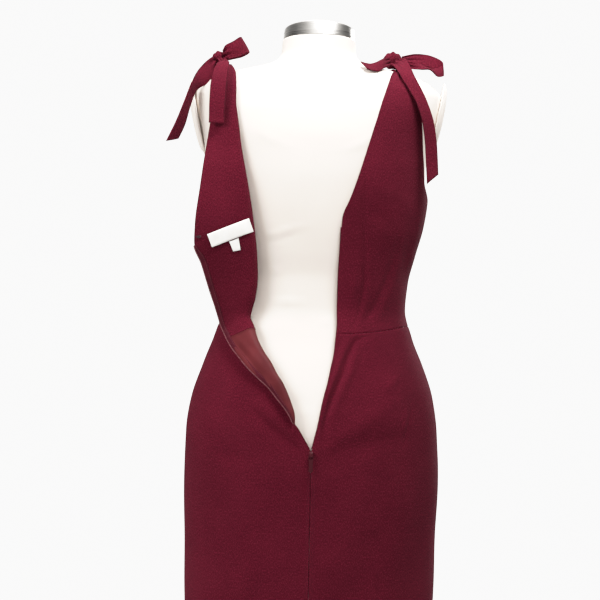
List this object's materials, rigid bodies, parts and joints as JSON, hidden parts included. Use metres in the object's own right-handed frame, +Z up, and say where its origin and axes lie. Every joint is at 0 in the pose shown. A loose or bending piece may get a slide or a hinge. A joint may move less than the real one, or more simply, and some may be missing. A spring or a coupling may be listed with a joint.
{
  "type": "cocktail dress on a dress form",
  "caption": "Sleeveless fitted sheath dress with shoulder ties, shown open at the back on a limbless dress form with a round stand.",
  "frame": {"origin": "centre of the stand's flat underside, on the floor", "axes": "+Z up; the open back of the dress faces -Y and the wearer's right side is +X"},
  "size_m": [0.4065, 0.34, 1.503],
  "materials": {
    "crepe": "burgundy crepe, fine dry weave with a soft sheen",
    "satin": "brownish burgundy satin lining",
    "zip_tape": "woven zip tape",
    "zip_metal": "burgundy lacquer, worn at the edges",
    "hook_metal": "black coated wire",
    "label_cloth": "white woven label, bare",
    "cover": "cream jersey stretched over padding",
    "steel": "satin brushed"
  },
  "bodies": {
    "dress_and_form": {"bodice_front": "crepe", "bodice_back_left": "crepe", "bodice_back_right": "crepe", "skirt_front": "crepe", "skirt_back_left": "crepe", "skirt_back_right": "crepe", "bodice_facing_left": "crepe", "skirt_lining_left": "satin", "zip_tape_left": "zip_tape", "zip_tape_right": "zip_tape", "zip_slider": "zip_metal", "neck_hook": "hook_metal", "neck_label": "label_cloth", "size_tab": "label_cloth", "tie_base_left": "crepe", "tie_knot_left": "crepe", "tie_loop_left": "crepe", "tie_end_side_left": "crepe", "tie_end_back_left": "crepe", "tie_base_right": "crepe", "tie_knot_right": "crepe", "tie_loop_right": "crepe", "tie_end_short_right": "crepe", "tie_end_back_right": "crepe", "form_torso": "cover", "form_neck_cap": "steel", "form_arm_plate_left": "cover", "form_arm_plate_right": "cover", "form_pole": "steel", "form_base": "steel"},
    "pull_tab": {"zip_pull": "zip_metal"}
  },
  "joints": [
    {"name": "zip_pull_hinge", "type": "hinge", "parent": "dress_and_form", "child": "pull_tab", "pos_m": [0, -0.1362, 0.8712], "axis": [1, 0, 0], "range_deg": [-140, 0]}
  ]
}
